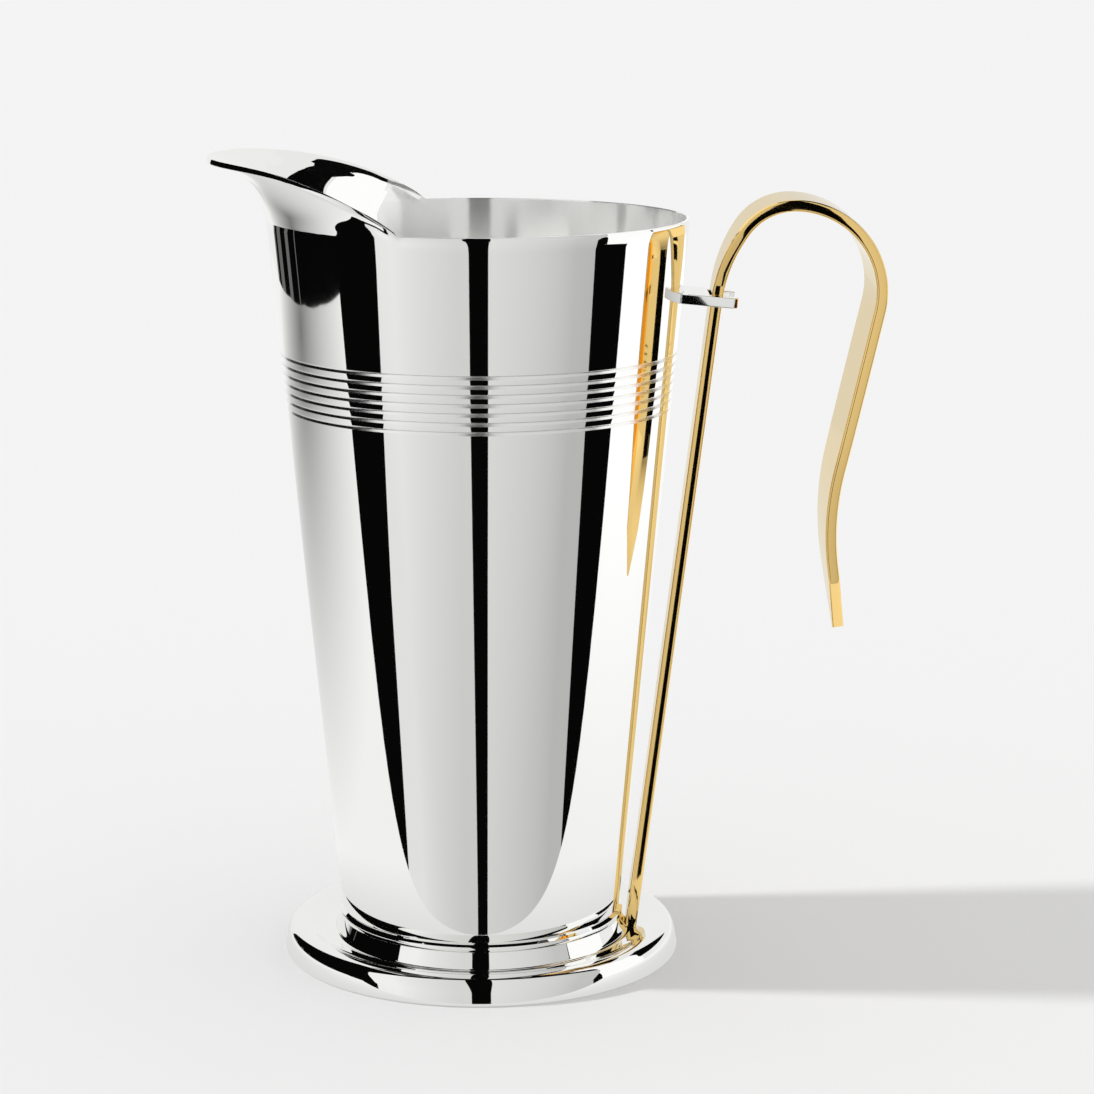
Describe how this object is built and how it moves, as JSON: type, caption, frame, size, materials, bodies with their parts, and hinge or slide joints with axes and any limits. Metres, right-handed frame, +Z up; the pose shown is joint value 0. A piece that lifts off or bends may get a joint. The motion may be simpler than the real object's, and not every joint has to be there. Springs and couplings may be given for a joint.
{
  "type": "pitcher",
  "caption": "Tall tapered pitcher in polished silver plate with a raised scoop spout, a dished round foot and a gold strap handle held by a small fork.",
  "frame": {"origin": "on the body's axis, on the surface that the foot stands on, at the middle of the base plate's underside", "axes": "+Z up along the body's axis, +X towards the handle, -X towards the spout"},
  "size_m": [0.195, 0.1222, 0.2363],
  "materials": {
    "silver_plate": "mirror-polished silver plate",
    "satin_silver": "fine satin silver plate",
    "gold_plate": "polished gold plate on brass",
    "plain_steel": "plain bright steel"
  },
  "bodies": {
    "root": {"body_wall": "silver_plate", "body_floor": "satin_silver", "spout": "silver_plate", "foot": "silver_plate", "base_plate": "satin_silver", "handle_strap": "gold_plate", "handle_bracket": "silver_plate", "bracket_pin": "plain_steel", "handle_washer": "plain_steel", "handle_screw": "plain_steel"}
  },
  "joints": []
}
